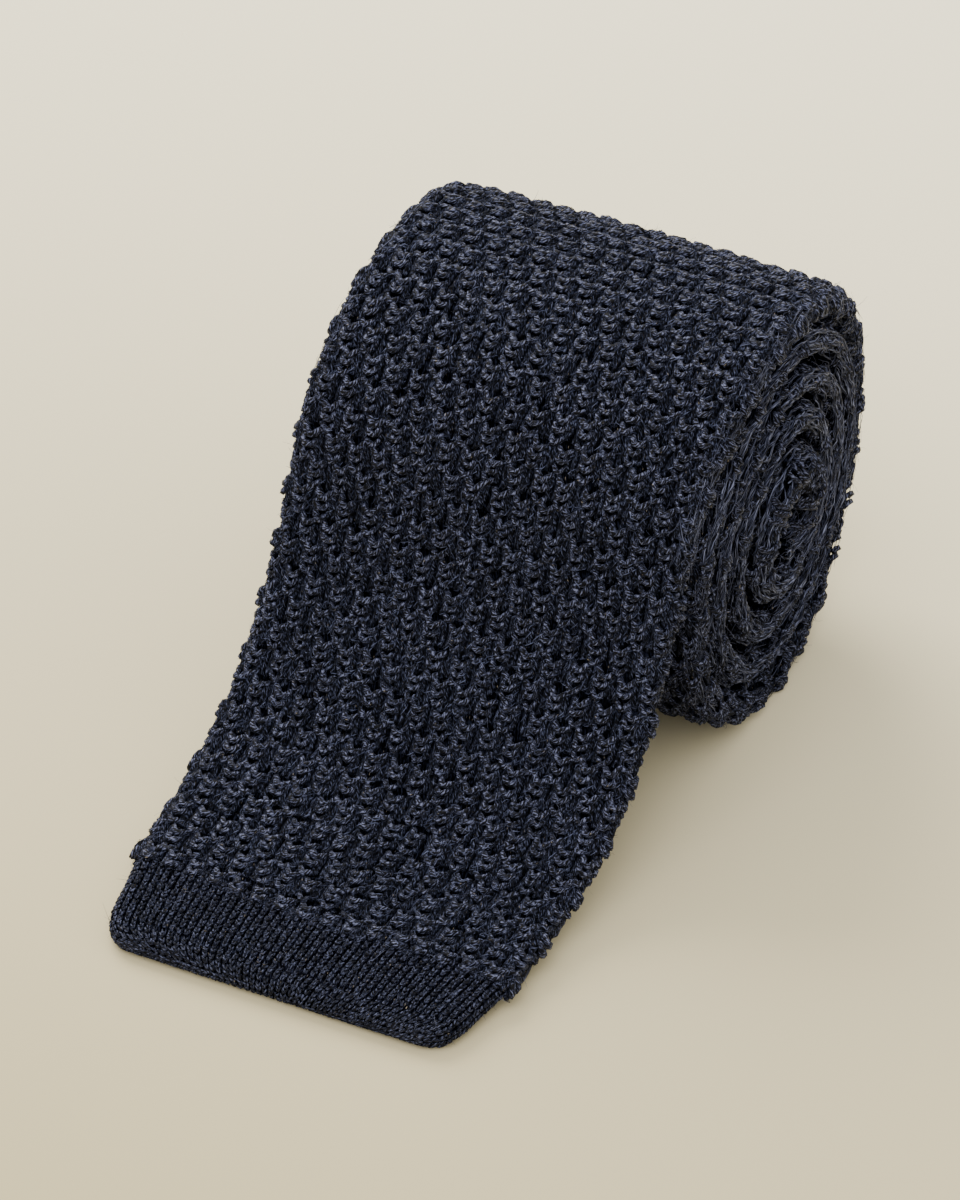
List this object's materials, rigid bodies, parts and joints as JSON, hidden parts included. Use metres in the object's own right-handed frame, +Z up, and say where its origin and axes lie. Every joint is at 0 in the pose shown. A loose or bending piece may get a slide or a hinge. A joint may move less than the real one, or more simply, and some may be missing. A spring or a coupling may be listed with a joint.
{
  "type": "knit tie",
  "caption": "Slim square-ended knitted tie, rolled up on its side with the blade laid out in front, ending in a plain knitted hem band.",
  "frame": {"origin": "on the floor, under the middle of the whole outline", "axes": "+X along the roll's axis to its right-hand end, +Y from the hem back to the roll, +Z up from the floor"},
  "size_m": [0.062, 0.124, 0.0654],
  "materials": {
    "pique_knit_wool": "bumpy tuck-stitch knit of dark navy melange wool",
    "plain_knit_wool": "fine plain knit of the same dark navy melange wool"
  },
  "bodies": {
    "root": {"knit_tube": "pique_knit_wool", "hem_band": "plain_knit_wool"}
  },
  "joints": []
}
